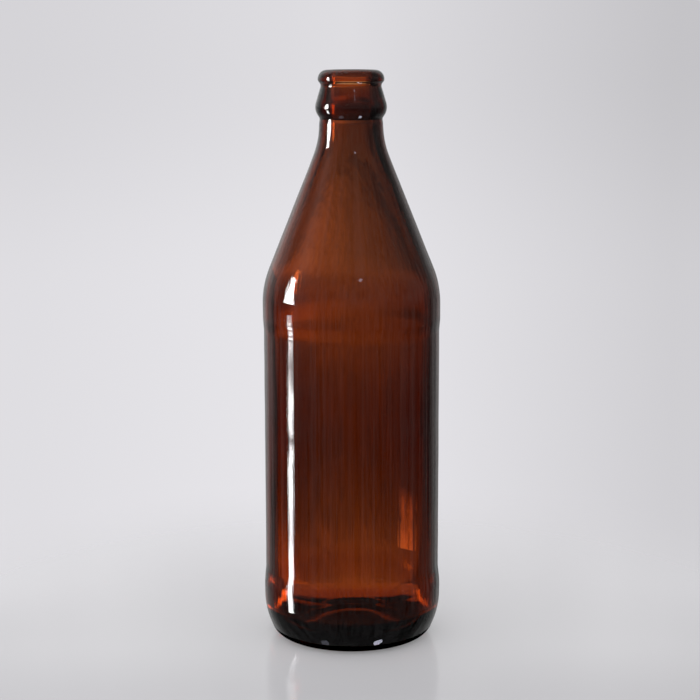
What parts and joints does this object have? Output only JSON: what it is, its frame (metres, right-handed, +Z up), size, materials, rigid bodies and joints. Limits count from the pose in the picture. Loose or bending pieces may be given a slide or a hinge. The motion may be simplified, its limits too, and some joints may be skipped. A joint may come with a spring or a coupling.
{
  "type": "beer bottle",
  "caption": "Empty, open amber glass beer bottle with a crown cap finish, a straight conical neck and a slightly recessed label panel.",
  "frame": {"origin": "centre of the circle the bottle stands on, at the level of its bearing ring", "axes": "+Z up along the bottle's axis, from the base to the mouth; X and Y are any two directions across it, as the bottle is round"},
  "size_m": [0.072, 0.072, 0.23],
  "materials": {
    "amber_glass": "smooth moulded amber glass, glossy"
  },
  "bodies": {
    "root": {"bottle": "amber_glass"}
  },
  "joints": []
}
